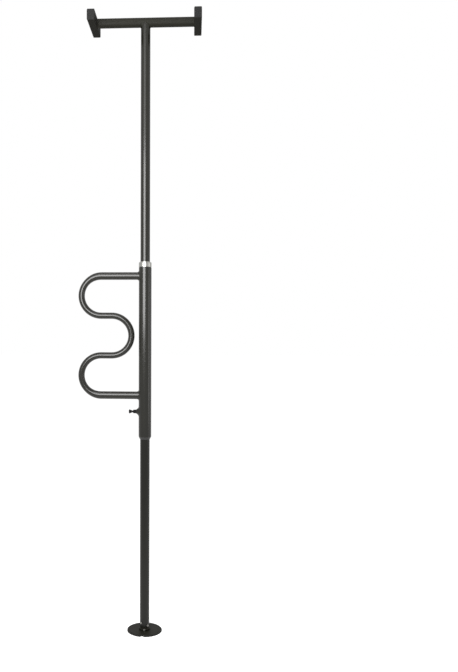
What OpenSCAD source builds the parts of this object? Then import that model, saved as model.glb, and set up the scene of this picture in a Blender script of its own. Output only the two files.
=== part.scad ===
// Transfer pole: a floor-to-ceiling support pole with a curved grab bar that swings round it.
// Millimetres. Z is the axis of the pole, the floor is z = 0, and the grab bar reaches to -X.

/* [Pole] */
// Height from the floor to the ceiling
ceiling_h = 2445; // [2300:1:2700]
// Outside diameter of the two pole tubes
pole_d = 38.1; // [36:0.1:40]
// Wall of the two pole tubes
pole_wall = 2; // [1.6:0.1:2.4]
// Height of the lower pole's top end
joint_z = 1443.5; // [1300:0.5:1500]

/* [Foot] */
// Diameter of the rubber floor pad
floor_pad_d = 138; // [120:1:170]
// Rubber under the base plate
floor_pad_t = 2; // [1.5:0.1:4]
// Width of the rubber lip round the base plate
pad_lip_w = 6; // [4:0.5:9]
// Width of the gap in the rubber lip
lip_gap_w = 12; // [4:0.5:16]
// Turn of the gap in the lip about the pole
lip_gap_turn = 265; // [0:5:355]
// Thickness of the base plate
base_plate_t = 3; // [2.5:0.1:6]
// Height of the bead round the foot collar
collar_bead_h = 8; // [5:0.5:9]
// How far the bead stands out of the pole
collar_bead_w = 3; // [2.5:0.5:9]
// Height of the collar's waist, between the bead and the pole
collar_waist_h = 7; // [6:0.5:14]
// Length of the spigot inside the pole
spigot_l = 60; // [40:1:120]
// Wall of the spigot
spigot_wall = 3; // [2:0.1:4]
// Diameter of the two foot bolts
foot_bolt_d = 5; // [4.5:0.5:6]
// Height of the lower foot bolt above the pole's end
foot_bolt_rise = 4.5; // [4:0.5:10]
// Height between the two foot bolts
foot_bolt_gap = 9.5; // [8:0.5:20]
// Turn of the upper foot bolt about the pole
foot_bolt_turn = 50; // [0:5:90]
// Angle from the upper foot bolt to the lower one
foot_bolt_cross = 80; // [60:5:120]

/* [Jack] */
// Diameter of the jack screw over its thread
screw_d = 24; // [20:0.5:26]
// Travel of the jack
jack_travel = 50; // [30:1:80]
// Length of the plug that holds the screw in the lower pole
plug_l = 40; // [25:1:60]
// Diameter of the plug's boss, on which the nut rests
boss_d = 28.5; // [28:0.1:32]
// Diameter of the ring nut
nut_d = 51; // [44:0.5:56]
// Height of the ring nut
nut_h = 20.5; // [15:0.5:30]
// Diameter of the tommy-bar holes in the ring nut
tommy_d = 7; // [5:0.5:9]
// Depth of the tommy-bar holes
tommy_depth = 9; // [5:0.5:10]
// Turn of the tommy-bar holes about the pole
tommy_turn = 5; // [0:5:175]
// Thickness of the thrust washer on the nut
washer_t = 1.5; // [1:0.1:3]
// Length of the bush that guides the upper pole on the screw
guide_l = 40; // [20:1:60]

/* [Grab bar] */
// Outside diameter of the sleeve
sleeve_d = 50.8; // [48:0.1:54]
// Wall of the sleeve
sleeve_wall = 2; // [1.5:0.1:2.4]
// Length of the sleeve below the plunger
sleeve_tail = 99.5; // [80:0.5:140]
// Length of the bushings inside the sleeve
bush_l = 50; // [30:1:60]
// Thickness of the upper bushing's flange
flange_t = 2.5; // [2:0.1:4]
// Height of the lower bushing's tapered nose
nose_h = 10; // [8:0.5:20]
// Outside diameter of the handle tube
handle_d = 30; // [26:0.5:32]
// Wall of the handle tube
handle_wall = 2; // [1.5:0.1:2.5]
// Radius of the handle's bends at the middle of the tube
bend_r = 79.3; // [70:0.1:90]
// Straight run of the handle between two bends
wave_run = 41.7; // [20:0.1:80]
// Hand gap between the inner bend and the sleeve
inner_gap = 14; // [10:0.1:40]
// Drop from the sleeve's top to the middle of the handle's top tube
handle_drop = 32; // [25:0.5:60]

/* [Plunger] */
// Drop from the handle's bottom tube to the plunger
plunger_drop = 64.5; // [45:0.5:100]
// Travel of the plunger
plunger_travel = 6; // [5:0.5:9]
// Diameter of the lock pin
pin_d = 8; // [7:0.1:9]
// Diameter of the stem between the pin and the knob
stem_d = 8; // [7:0.1:8.2]
// Diameter of the barrel
barrel_d = 14.6; // [14.4:0.1:17]
// Diameter of the spring's room in the barrel
spring_room_d = 12; // [11.8:0.1:12.2]
// Diameter of the boss where it meets the sleeve
plunger_boss_d = 33; // [28:0.5:36]
// Height of the boss above the sleeve
plunger_boss_h = 9; // [8:0.5:12]
// Diameter of the knob
knob_d = 16; // [12:0.5:20]
// Length of the knob
knob_l = 11; // [6:0.5:14]

/* [Ceiling bracket] */
// Width of the bracket over its end bars
bracket_w = 445.6; // [380:0.1:560]
// Outside diameter of the crossbar
crossbar_d = 38.1; // [36:0.1:40]
// Length of the end bars over their caps
bar_l = 207; // [180:1:340]
// Width of the end bars
bar_w = 30; // [24:0.1:40]
// Height of the end bars
bar_h = 40; // [38.1:0.1:50]
// Wall of the end bars
bar_wall = 2; // [1.5:0.1:2.5]
// Thickness of the rubber ceiling pads
ceiling_pad_t = 4; // [2:0.5:8]
// Turn of the bracket about the pole, from the plane of the grab bar
bracket_turn = 0; // [-45:1:45]

/* [Hidden] */
$fn = 96;
// How far a cut runs past what it cuts
overrun = 5;
// Gap round a running fit
run_gap = 0.075;
// Gap at a welded or pressed seat
press_gap = 0.05;
// Gap round a part that slips over another or passes through it
slip_gap = 0.3;

// Colours: powder coat, zinc plate, rubber, nylon and blackened steel
coat = "#3a3a35";
zinc = "#c8c8c2";
rubber = "#232321";
nylon = "#2c2c2a";
black_steel = "#1f1f1e";

// Foot
pole_r = pole_d / 2;
pole_ir = pole_r - pole_wall;
pad_r = floor_pad_d / 2;
pad_seat_r = pad_r - pad_lip_w;
plate_z = floor_pad_t + base_plate_t;
lip_drop = 0.5;
lip_top_z = plate_z - lip_drop;
lip_round = 2;
plate_bevel = 1;
waist_inset = 0.9;
foot_z = plate_z + collar_bead_h + collar_waist_h;
spigot_r = pole_ir - slip_gap;
foot_bolt_hole_d = foot_bolt_d + 2 * slip_gap;
foot_bolt_seat = pole_r + press_gap;
hex_share = 1.9;
head_h_share = 0.65;
nut_h_share = 0.85;
foot_head_d = foot_bolt_d * hex_share;
foot_head_h = foot_bolt_d * head_h_share;
foot_nut_h = foot_bolt_d * nut_h_share;
foot_bolt_tip = 2;

// Jack
nut_gap = 0.5;
screw_spare = 30;
screw_bevel = 1.5;
nut_bevel = 1.2;
nut_top_bevel = 3;
tommy_count = 2;
washer_step = 1;
nut_z = joint_z + flange_t + nut_gap;
washer_z = nut_z + nut_h;
upper_z = washer_z + washer_t;
screw_top_z = upper_z + guide_l + jack_travel + screw_spare;

// Grab bar
bend_count = 3;
sleeve_r = sleeve_d / 2;
sleeve_ir = sleeve_r - sleeve_wall;
bush_r = sleeve_ir - press_gap;
bush_bore_r = pole_r + run_gap;
flange_step = 0.6;
nose_step = 0.3;
nose_tip_w = 1.2;
handle_h = 2 * bend_count * bend_r;
handle_z = joint_z - handle_drop;
inner_x = -(sleeve_r + inner_gap + handle_d / 2 + bend_r);
outer_x = inner_x - wave_run;
plunger_z = handle_z - handle_h - plunger_drop;
sleeve_z = plunger_z - sleeve_tail;

// Plunger, measured out from the pole's axis with the pin drawn out of its index hole
index_count = 8;
pin_bevel = 1;
pin_clear = 0.8;
pin_tip = pole_r + pin_clear;
collar_gap = 0.35;
collar_t = 2;
collar_d = spring_room_d - 2 * slip_gap;
collar_at = sleeve_r + collar_gap + plunger_travel;
spring_l = 11;
spring_turns = 5;
spring_wire_d = 0.9;
spring_rings = 8;
spring_sides = 6;
spring_d = (collar_d + stem_d) / 2;
spring_at = collar_at + collar_t;
barrel_cap_t = 2.3;
barrel_seat = 6;
barrel_bevel = 1.5;
barrel_end = spring_at + spring_l + barrel_cap_t;
boss_wall = 1.5;
boss_skirt = 6;
boss_end = sleeve_r + plunger_boss_h;
knob_gap = 0.2;
knob_at = barrel_end + knob_gap + plunger_travel;
knob_neck_share = 0.35;
stem_seat_share = 0.7;

// Ceiling bracket
crossbar_z = ceiling_h - ceiling_pad_t - bar_h / 2;
crossbar_l = bracket_w - 2 * bar_w;
bar_x = (bracket_w - bar_w) / 2;
bar_round = 3;
cap_t = 3;
cap_plug_l = 12;
pad_inset = 1.7;
pad_round = 4;

// A tube that stands on z, from its outside and inside radii
module tube(z, h, outer_r, inner_r) {
  translate([0, 0, z])
    difference() {
      cylinder(h = h, r = outer_r);
      translate([0, 0, -overrun]) cylinder(h = h + 2 * overrun, r = inner_r);
    }
}

// A flat rectangle with round corners, centred
module round_rect(w, h, r) {
  square([w - 2 * r, h], center = true);
  square([w, h - 2 * r], center = true);
  for (x = [-1, 1], y = [-1, 1])
    translate([x * (w / 2 - r), y * (h / 2 - r)]) circle(r = r);
}

// Foot

module floor_pad() {
  color(rubber)
    difference() {
      rotate_extrude()
        difference() {
          union() {
            square([pad_r, lip_top_z - lip_round]);
            square([pad_r - lip_round, lip_top_z]);
            translate([pad_r - lip_round, lip_top_z - lip_round]) circle(r = lip_round);
          }
          translate([0, floor_pad_t]) square([pad_seat_r, plate_z]);
        }
      rotate([0, 0, lip_gap_turn])
        translate([pad_seat_r, -lip_gap_w / 2, -overrun])
          cube([pad_lip_w + overrun, lip_gap_w, lip_top_z + 2 * overrun]);
    }
}

module base_plate() {
  r = pad_seat_r - press_gap;
  color(coat)
    rotate_extrude()
      polygon([
        [0, floor_pad_t],
        [r, floor_pad_t],
        [r, plate_z - plate_bevel],
        [r - plate_bevel, plate_z],
        [0, plate_z]
      ]);
}

module foot_collar() {
  bore_r = spigot_r + press_gap;
  bead_r = pole_r + collar_bead_w;
  bead_round = collar_bead_h / 2;
  color(coat)
    rotate_extrude()
      difference() {
        union() {
          translate([0, plate_z]) square([bead_r - bead_round, collar_bead_h]);
          translate([bead_r - bead_round, plate_z + bead_round]) circle(r = bead_round);
          translate([0, plate_z]) square([pole_r - waist_inset, foot_z - plate_z]);
        }
        square([bore_r, foot_z + overrun]);
      }
}

// Places its children at a foot bolt, with +Z out to the bolt's head
module at_foot_bolt(i) {
  z = foot_z + foot_bolt_rise + (1 - i) * foot_bolt_gap;
  turn = foot_bolt_turn + foot_bolt_cross * i;
  rotate([0, 0, turn]) translate([0, 0, z]) rotate([0, -90, 0]) children();
}

module foot_bolt_holes() {
  for (i = [0, 1])
    at_foot_bolt(i)
      translate([0, 0, -pole_r - overrun]) cylinder(h = pole_d + 2 * overrun, d = foot_bolt_hole_d);
}

module foot_spigot() {
  color(coat)
    difference() {
      tube(plate_z, foot_z - plate_z + spigot_l, spigot_r, spigot_r - spigot_wall);
      foot_bolt_holes();
    }
}

module foot_bolts() {
  shank_l = 2 * foot_bolt_seat + foot_nut_h + foot_bolt_tip;
  color(zinc)
    for (i = [0, 1])
      at_foot_bolt(i)
        translate([0, 0, foot_bolt_seat]) {
          cylinder(h = foot_head_h, d = foot_head_d, $fn = 6);
          translate([0, 0, -shank_l]) cylinder(h = shank_l, d = foot_bolt_d);
        }
}

module foot_nuts() {
  color(zinc)
    for (i = [0, 1])
      at_foot_bolt(i)
        translate([0, 0, -foot_bolt_seat - foot_nut_h])
          difference() {
            cylinder(h = foot_nut_h, d = foot_head_d, $fn = 6);
            translate([0, 0, -overrun])
              cylinder(h = foot_nut_h + 2 * overrun, d = foot_bolt_d + 2 * press_gap);
          }
}

// Lower pole, with the ring of index holes for the plunger

module lower_pole() {
  color(coat)
    difference() {
      tube(foot_z, joint_z - foot_z, pole_r, pole_ir);
      foot_bolt_holes();
      for (i = [0 : index_count / 2 - 1])
        rotate([0, 0, i * 360 / index_count])
          translate([-pole_r - overrun, 0, plunger_z])
            rotate([0, 90, 0])
              cylinder(h = pole_d + 2 * overrun, d = pin_d + 2 * slip_gap);
    }
}

// Jack

module jack_plug() {
  color(zinc)
    difference() {
      union() {
        translate([0, 0, joint_z - plug_l]) cylinder(h = plug_l, r = pole_ir - press_gap);
        translate([0, 0, joint_z]) cylinder(h = nut_z - joint_z, d = boss_d);
      }
      translate([0, 0, joint_z - plug_l - overrun])
        cylinder(h = plug_l + nut_z - joint_z + 2 * overrun, d = screw_d + 2 * press_gap);
    }
}

module jack_screw() {
  r = screw_d / 2;
  color(zinc)
    rotate_extrude()
      polygon([
        [0, joint_z - plug_l],
        [r, joint_z - plug_l],
        [r, screw_top_z - screw_bevel],
        [r - screw_bevel, screw_top_z],
        [0, screw_top_z]
      ]);
}

module jack_nut() {
  r = nut_d / 2;
  bore_r = screw_d / 2 + run_gap;
  color(zinc)
    difference() {
      rotate_extrude()
        polygon([
          [bore_r, nut_z],
          [r - nut_bevel, nut_z],
          [r, nut_z + nut_bevel],
          [r, washer_z - nut_top_bevel],
          [r - nut_top_bevel, washer_z],
          [bore_r, washer_z]
        ]);
      for (i = [0 : tommy_count - 1])
        rotate([0, 0, tommy_turn + i * 360 / tommy_count])
          translate([r - tommy_depth, 0, nut_z + nut_h / 2])
            rotate([0, 90, 0]) cylinder(h = tommy_depth + overrun, d = tommy_d);
    }
}

module thrust_washer() {
  color(zinc) tube(washer_z, washer_t, pole_r + washer_step, screw_d / 2 + slip_gap);
}

module guide_bush() {
  color(nylon) tube(upper_z, guide_l, pole_ir - press_gap, screw_d / 2 + run_gap);
}

// Upper pole, coped to the crossbar

module upper_pole() {
  color(coat)
    difference() {
      tube(upper_z, crossbar_z - upper_z, pole_r, pole_ir);
      bracket_frame()
        translate([-pole_d, 0, 0])
          rotate([0, 90, 0]) cylinder(h = 2 * pole_d, d = crossbar_d + 2 * press_gap);
    }
}

// Ceiling bracket

// Places its children at the middle of the crossbar, with X along it
module bracket_frame() {
  rotate([0, 0, bracket_turn]) translate([0, 0, crossbar_z]) children();
}

module crossbar() {
  color(coat)
    bracket_frame()
      rotate([0, 90, 0]) tube(-crossbar_l / 2, crossbar_l, crossbar_d / 2, crossbar_d / 2 - pole_wall);
}

module end_bar(side) {
  l = bar_l - 2 * cap_t;
  color(coat)
    bracket_frame()
      translate([side * bar_x, l / 2, 0])
        rotate([90, 0, 0])
          linear_extrude(height = l)
            difference() {
              round_rect(bar_w, bar_h, bar_round);
              round_rect(bar_w - 2 * bar_wall, bar_h - 2 * bar_wall, bar_round - bar_wall / 2);
            }
}

module end_caps() {
  plug_w = bar_w - 2 * (bar_wall + slip_gap);
  plug_h = bar_h - 2 * (bar_wall + slip_gap);
  color(nylon)
    bracket_frame()
      for (side = [-1, 1], end = [0, 180])
        translate([side * bar_x, 0, 0])
          rotate([0, 0, end])
            translate([0, bar_l / 2, 0])
              rotate([90, 0, 0]) {
                linear_extrude(height = cap_t) round_rect(bar_w, bar_h, bar_round);
                linear_extrude(height = cap_t + cap_plug_l) round_rect(plug_w, plug_h, bar_round);
              }
}

module ceiling_pad(side) {
  color(rubber)
    bracket_frame()
      translate([side * bar_x, 0, bar_h / 2])
        linear_extrude(height = ceiling_pad_t)
          round_rect(bar_w - 2 * pad_inset, bar_l - 2 * cap_t, pad_round);
}

// Grab bar

module grab_sleeve() {
  color(coat)
    difference() {
      tube(sleeve_z, joint_z - sleeve_z, sleeve_r, sleeve_ir);
      at_plunger() cylinder(h = sleeve_d, d = pin_d + 2 * run_gap);
    }
}

module upper_bushing() {
  lip_r = boss_d / 2 + slip_gap;
  flange_r = sleeve_r - flange_step;
  color(nylon)
    rotate_extrude()
      polygon([
        [bush_bore_r, joint_z - bush_l],
        [bush_r, joint_z - bush_l],
        [bush_r, joint_z],
        [flange_r, joint_z],
        [flange_r, joint_z + flange_t],
        [lip_r, joint_z + flange_t],
        [lip_r, joint_z],
        [bush_bore_r, joint_z]
      ]);
}

module lower_bushing() {
  color(nylon)
    rotate_extrude()
      polygon([
        [bush_bore_r, sleeve_z - nose_h],
        [bush_bore_r + nose_tip_w, sleeve_z - nose_h],
        [sleeve_r - nose_step, sleeve_z],
        [bush_r, sleeve_z],
        [bush_r, sleeve_z + bush_l],
        [bush_bore_r, sleeve_z + bush_l]
      ]);
}

// The handle's wave as a solid bar: bends out and in by turns, joined by straight runs
module handle_wave(d) {
  for (i = [0 : bend_count - 1])
    translate([i % 2 == 0 ? outer_x : inner_x, 0, handle_z - (2 * i + 1) * bend_r])
      rotate([90, 0, 0])
        rotate([0, 0, i % 2 == 0 ? 90 : -90])
          rotate_extrude(angle = 180) translate([bend_r, 0]) circle(d = d);
  for (i = [0 : bend_count])
    translate([outer_x, 0, handle_z - 2 * i * bend_r])
      rotate([0, 90, 0])
        cylinder(h = (i == 0 || i == bend_count ? 0 : inner_x) - outer_x, d = d);
}

module curve_handle() {
  color(coat)
    difference() {
      handle_wave(handle_d);
      handle_wave(handle_d - 2 * handle_wall);
      translate([0, 0, sleeve_z]) cylinder(h = joint_z - sleeve_z, r = sleeve_r + press_gap);
    }
}

// Plunger

// Places its children on the plunger's axis, with +Z out from the pole
module at_plunger() {
  translate([0, 0, plunger_z]) rotate([0, -90, 0]) children();
}

module plunger_boss() {
  skirt_at = sleeve_r - boss_skirt;
  color(coat)
    difference() {
      at_plunger()
        difference() {
          translate([0, 0, skirt_at])
            cylinder(h = boss_end - skirt_at, d1 = plunger_boss_d, d2 = barrel_d + 2 * boss_wall);
          cylinder(h = boss_end + overrun, d = spring_room_d);
          translate([0, 0, boss_end - barrel_seat])
            cylinder(h = barrel_seat + overrun, d = barrel_d + 2 * press_gap);
        }
      translate([0, 0, plunger_z - plunger_boss_d])
        cylinder(h = 2 * plunger_boss_d, r = sleeve_r + press_gap);
    }
}

module plunger_barrel() {
  r = barrel_d / 2;
  room_r = spring_room_d / 2;
  stem_bore_r = stem_d / 2 + run_gap;
  color(black_steel)
    at_plunger()
      rotate_extrude()
        polygon([
          [room_r, boss_end - barrel_seat],
          [r, boss_end - barrel_seat],
          [r, barrel_end - barrel_bevel],
          [r - barrel_bevel, barrel_end],
          [stem_bore_r, barrel_end],
          [stem_bore_r, barrel_end - barrel_cap_t],
          [room_r, barrel_end - barrel_cap_t]
        ]);
}

// Middle of the spring's wire at a ring: a helix that climbs inside its room
spring_rise = spring_l - spring_wire_d - 2 * slip_gap;
spring_last = spring_turns * spring_rings;
function spring_angle(i) = 360 * i / spring_rings;
function spring_point(i) = [
  spring_d / 2 * cos(spring_angle(i)),
  spring_d / 2 * sin(spring_angle(i)),
  spring_at + slip_gap + spring_wire_d / 2 + spring_rise * i / spring_last
];
function spring_out(i) = [cos(spring_angle(i)), sin(spring_angle(i)), 0];
function spring_corner(i, j) =
  spring_point(i)
  + spring_wire_d / 2 * cos(360 * j / spring_sides) * spring_out(i)
  + spring_wire_d / 2 * sin(360 * j / spring_sides) * [0, 0, 1];
spring_gaps = [
  for (i = [0 : spring_last - spring_rings])
    norm(spring_point(i + spring_rings) - spring_point(i)) - spring_wire_d
];
echo(spring_least_gap = min(spring_gaps));

module plunger_spring() {
  n = spring_sides;
  corners = [for (i = [0 : spring_last], j = [0 : n - 1]) spring_corner(i, j)];
  sides = [
    for (i = [0 : spring_last - 1], j = [0 : n - 1], half = [0, 1])
      let (a = i * n + j, b = i * n + (j + 1) % n)
        half == 0 ? [a, b, b + n] : [a, b + n, a + n]
  ];
  first_end = [for (j = [1 : n - 2]) [0, j + 1, j]];
  last_end = [for (j = [1 : n - 2]) [0, j, j + 1] + spring_last * n * [1, 1, 1]];
  color(zinc) at_plunger() polyhedron(points = corners, faces = concat(sides, first_end, last_end));
}

module plunger_pin() {
  pin_r = pin_d / 2;
  color(black_steel)
    at_plunger()
      rotate_extrude()
        polygon([
          [0, pin_tip],
          [pin_r - pin_bevel, pin_tip],
          [pin_r, pin_tip + pin_bevel],
          [pin_r, collar_at],
          [collar_d / 2, collar_at],
          [collar_d / 2, spring_at],
          [stem_d / 2, spring_at],
          [stem_d / 2, knob_at + knob_l * stem_seat_share],
          [0, knob_at + knob_l * stem_seat_share]
        ]);
}

module plunger_knob() {
  r = knob_d / 2;
  round_r = knob_l * (1 - knob_neck_share) / 2;
  neck_l = knob_l * knob_neck_share;
  neck_r = (r + stem_d / 2) / 2;
  seat_l = knob_l * stem_seat_share;
  color(black_steel)
    at_plunger()
      rotate_extrude()
        translate([0, knob_at])
          difference() {
            union() {
              square([neck_r, knob_l / 2]);
              translate([0, neck_l]) square([r - round_r, 2 * round_r]);
              translate([r - round_r, neck_l + round_r]) circle(r = round_r);
            }
            translate([0, -overrun]) square([stem_d / 2 + press_gap, seat_l + press_gap + overrun]);
          }
}

floor_pad();
base_plate();
foot_collar();
foot_spigot();
foot_bolts();
foot_nuts();
lower_pole();
jack_plug();
jack_screw();
jack_nut();
thrust_washer();
guide_bush();
upper_pole();
crossbar();
end_bar(-1);  // end_bar_left
end_bar(1);  // end_bar_right
end_caps();
ceiling_pad(-1);  // ceiling_pad_left
ceiling_pad(1);  // ceiling_pad_right
grab_sleeve();
upper_bushing();
lower_bushing();
curve_handle();
plunger_boss();
plunger_barrel();
plunger_spring();
plunger_pin();
plunger_knob();
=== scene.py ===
"""Looks of a floor-to-ceiling transfer pole with a swinging grab bar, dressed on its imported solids."""

import logging
import math
from collections.abc import Callable, Iterable, Sequence
from dataclasses import dataclass
from enum import Enum

import bmesh
import bpy
from mathutils import Matrix, Vector


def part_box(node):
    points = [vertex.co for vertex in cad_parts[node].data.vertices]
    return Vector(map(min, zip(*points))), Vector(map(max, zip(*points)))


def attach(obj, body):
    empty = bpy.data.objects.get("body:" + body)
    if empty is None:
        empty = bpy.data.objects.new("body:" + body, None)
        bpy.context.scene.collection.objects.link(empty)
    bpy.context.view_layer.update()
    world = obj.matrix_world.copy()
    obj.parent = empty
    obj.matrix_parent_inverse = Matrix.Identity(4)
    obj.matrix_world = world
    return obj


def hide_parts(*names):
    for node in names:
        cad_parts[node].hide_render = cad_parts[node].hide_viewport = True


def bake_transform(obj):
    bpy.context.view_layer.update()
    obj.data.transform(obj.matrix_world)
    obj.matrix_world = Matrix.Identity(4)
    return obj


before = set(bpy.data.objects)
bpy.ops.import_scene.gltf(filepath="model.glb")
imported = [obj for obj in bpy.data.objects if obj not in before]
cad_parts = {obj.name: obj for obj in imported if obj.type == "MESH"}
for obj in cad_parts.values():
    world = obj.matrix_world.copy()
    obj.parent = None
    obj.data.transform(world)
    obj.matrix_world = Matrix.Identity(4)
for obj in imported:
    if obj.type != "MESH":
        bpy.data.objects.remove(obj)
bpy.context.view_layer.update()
LOG = logging.getLogger("transfer_pole")

MM = 0.001
IMAGE_WIDTH = 458
IMAGE_HEIGHT = 672
SENSOR_MM = 36.0
SHARP_ANGLE = math.radians(28.0)
MERGE = 0.001 * MM
UP = (0, 0, 1)

Point = tuple[float, float]
# A weld's section: the toe on the branch, the root, the toe on the main piece and the way out.
Section = tuple[Vector, Vector, Vector, Vector]
Inputs = dict[str | int, object]


class Body(Enum):
    """The bodies that made pieces ride on."""

    ROOT = "root"
    UPPER_POLE = "upper_pole"
    GRAB_BAR = "grab_bar"
    PLUNGER = "plunger"


class Grain(Enum):
    """How a surface was made, which sets the pattern of its fine relief."""

    PEEL = "orange peel of a flowed powder coat"
    TURNED = "fine rings left by a lathe, round the pole's axis"
    CROSS_TURNED = "fine rings left by a lathe, round the plunger's axis"
    MOULDED = "even spark texture of a mould"


# Octaves of the noise in each grain, from a smooth swell to a sandy relief.
GRAIN_DETAIL = {Grain.PEEL: 1.0, Grain.TURNED: 2.0, Grain.CROSS_TURNED: 2.0, Grain.MOULDED: 4.0}
# Scale of the noise along X, Y and Z for rings round Z, the pole's axis, and round X, the plunger's axis.
RING_STRETCH = {Grain.TURNED: (0.02, 0.02, 1.0), Grain.CROSS_TURNED: (1.0, 0.02, 0.02)}
CLOUD_DETAIL = 3.0
CLOUD_ROUGHNESS = 0.55


def linear(hex_colour: str) -> tuple[float, float, float, float]:
    """Turns an sRGB hex colour to linear light.

    Args:
        hex_colour: Six hex digits after a hash sign.

    Returns:
        Linear red, green and blue, with an alpha of 1.
    """
    shares = [int(hex_colour[i : i + 2], 16) / 255 for i in (1, 3, 5)]
    lit = [s / 12.92 if s <= 0.04045 else ((s + 0.055) / 1.055) ** 2.4 for s in shares]
    return (lit[0], lit[1], lit[2], 1.0)


def add_node(
    tree: bpy.types.NodeTree, kind: str, inputs: Inputs | None = None, **settings: object
) -> bpy.types.Node:
    """Adds a node with its settings, values and links.

    Args:
        tree: The tree that gets the node.
        kind: The node's type name.
        inputs: A value, a socket or a list of sockets for each input, by name or index.
        **settings: The node's own properties.

    Returns:
        The new node.
    """
    node = tree.nodes.new(kind)
    for name, value in settings.items():
        setattr(node, name, value)
    for key, value in (inputs or {}).items():
        for source in value if isinstance(value, list) else [value]:
            if isinstance(source, bpy.types.NodeSocket):
                tree.links.new(source, node.inputs[key])
            else:
                node.inputs[key].default_value = source
    return node


def empty_tree(owner: bpy.types.Material | bpy.types.World) -> bpy.types.NodeTree:
    """Gives a material or the surroundings a node tree with nothing in it.

    Args:
        owner: What gets the tree.

    Returns:
        The empty tree.
    """
    owner.use_nodes = True
    owner.node_tree.nodes.clear()
    return owner.node_tree


def add_object(name: str, data: bpy.types.ID) -> bpy.types.Object:
    """Makes an object and links it to the scene.

    Args:
        name: The object's name.
        data: Its mesh, camera or lamp.

    Returns:
        The new object.
    """
    made = bpy.data.objects.new(name, data)
    bpy.context.scene.collection.objects.link(made)
    return made


@dataclass(frozen=True)
class Finish:
    """One real material and what its surface gives the eye. Lengths are in millimetres.

    The cloud is a slow drift of colour and gloss over the piece, and the grain its fine relief.
    """

    name: str
    slot: str
    colour: str
    cloud_colour: str
    cloud_mm: float
    roughness: float
    roughness_spread: float
    grain: Grain
    grain_mm: float
    grain_depth_mm: float
    metallic: float = 0.0
    specular: float = 0.5

    def material(self) -> bpy.types.Material:
        """Returns the finish's material, made on first use."""
        return bpy.data.materials.get(self.name) or self._make()

    def _make(self) -> bpy.types.Material:
        """Builds the node tree on Object coordinates.

        Returns:
            The new material.
        """
        material = bpy.data.materials.new(self.name)
        tree = empty_tree(material)
        place = add_node(tree, "ShaderNodeTexCoord").outputs["Object"]
        cloud = add_node(
            tree, "ShaderNodeTexNoise",
            {
                "Vector": place, "Scale": 1 / (self.cloud_mm * MM),
                "Detail": CLOUD_DETAIL, "Roughness": CLOUD_ROUGHNESS,
            },
        ).outputs["Fac"]
        colour = add_node(
            tree, "ShaderNodeMix",
            {"Factor": cloud, "A": linear(self.colour), "B": linear(self.cloud_colour)},
            data_type="RGBA",
        )
        gloss = add_node(
            tree, "ShaderNodeMapRange",
            {
                "Value": cloud,
                "To Min": self.roughness - self.roughness_spread,
                "To Max": self.roughness + self.roughness_spread,
            },
        )
        bump = add_node(
            tree, "ShaderNodeBump",
            {"Height": self._grain(tree, place), "Distance": self.grain_depth_mm * MM, "Strength": 1.0},
        )
        shader = add_node(
            tree, "ShaderNodeBsdfPrincipled",
            {
                "Base Color": colour.outputs[2],
                "Roughness": gloss.outputs["Result"],
                "Normal": bump.outputs["Normal"],
                "Metallic": self.metallic,
                "Specular IOR Level": self.specular,
            },
        )
        add_node(tree, "ShaderNodeOutputMaterial", {"Surface": shader.outputs["BSDF"]})
        return material

    def _grain(self, tree: bpy.types.NodeTree, place: bpy.types.NodeSocket) -> bpy.types.NodeSocket:
        """Adds the fine relief.

        Args:
            tree: The material's tree.
            place: Object coordinates, in metres.

        Returns:
            The height of the relief, from 0 to 1.
        """
        if self.grain in RING_STRETCH:
            # A lathe's rings lie square to the axis, so the noise is drawn out round it.
            stretch = {"Vector": place, "Scale": RING_STRETCH[self.grain]}
            place = add_node(tree, "ShaderNodeMapping", stretch).outputs["Vector"]
        return add_node(
            tree, "ShaderNodeTexNoise",
            {"Vector": place, "Scale": 1 / (self.grain_mm * MM), "Detail": GRAIN_DETAIL[self.grain]},
        ).outputs["Fac"]


# Gloss powder coat on steel tube: a thick dark bronze film, soft reflections and a slight orange peel.
# Real peel is about 1 mm across; it is drawn at 2.5 mm so that a close view shows it.
POWDER_COAT = Finish(
    name="dark_bronze_powder_coat", slot="powder_coat",
    colour="#11110b", cloud_colour="#17160f", cloud_mm=70.0,
    roughness=0.2, roughness_spread=0.03,
    grain=Grain.PEEL, grain_mm=2.5, grain_depth_mm=0.003, specular=0.42,
)
# Powder coat on the lower pole, which the grab bar's bushings turn on: a darker, duller copy as painted
# shade.
SHADED_SATIN_COAT = Finish(
    name="shaded_satin_powder_coat", slot="powder_coat",
    colour="#0e0e09", cloud_colour="#13120c", cloud_mm=70.0,
    roughness=0.24, roughness_spread=0.04,
    grain=Grain.PEEL, grain_mm=2.5, grain_depth_mm=0.003, specular=0.28,
)
# Fine-texture powder coat on the foot and the crossbar: the same colour, duller, with a sandy relief.
TEXTURED_COAT = Finish(
    name="textured_powder_coat", slot="powder_coat",
    colour="#15150f", cloud_colour="#1c1b14", cloud_mm=40.0,
    roughness=0.6, roughness_spread=0.06,
    grain=Grain.MOULDED, grain_mm=1.6, grain_depth_mm=0.05, specular=0.15,
)
# Matt powder coat on the end bars: near black, with almost no gloss even where it is seen at a slant.
MATT_COAT = Finish(
    name="matt_powder_coat", slot="powder_coat",
    colour="#12120c", cloud_colour="#181711", cloud_mm=40.0,
    roughness=0.75, roughness_spread=0.05,
    grain=Grain.MOULDED, grain_mm=1.6, grain_depth_mm=0.05, specular=0.09,
)
# Bright zinc plate on turned steel: a pale blue-grey metal with faint rings from the lathe.
ZINC_PLATE = Finish(
    name="bright_zinc_plate", slot="zinc_plate",
    colour="#a9a8a3", cloud_colour="#999995", cloud_mm=14.0,
    roughness=0.22, roughness_spread=0.05,
    grain=Grain.TURNED, grain_mm=0.8, grain_depth_mm=0.008, metallic=1.0,
)
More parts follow.
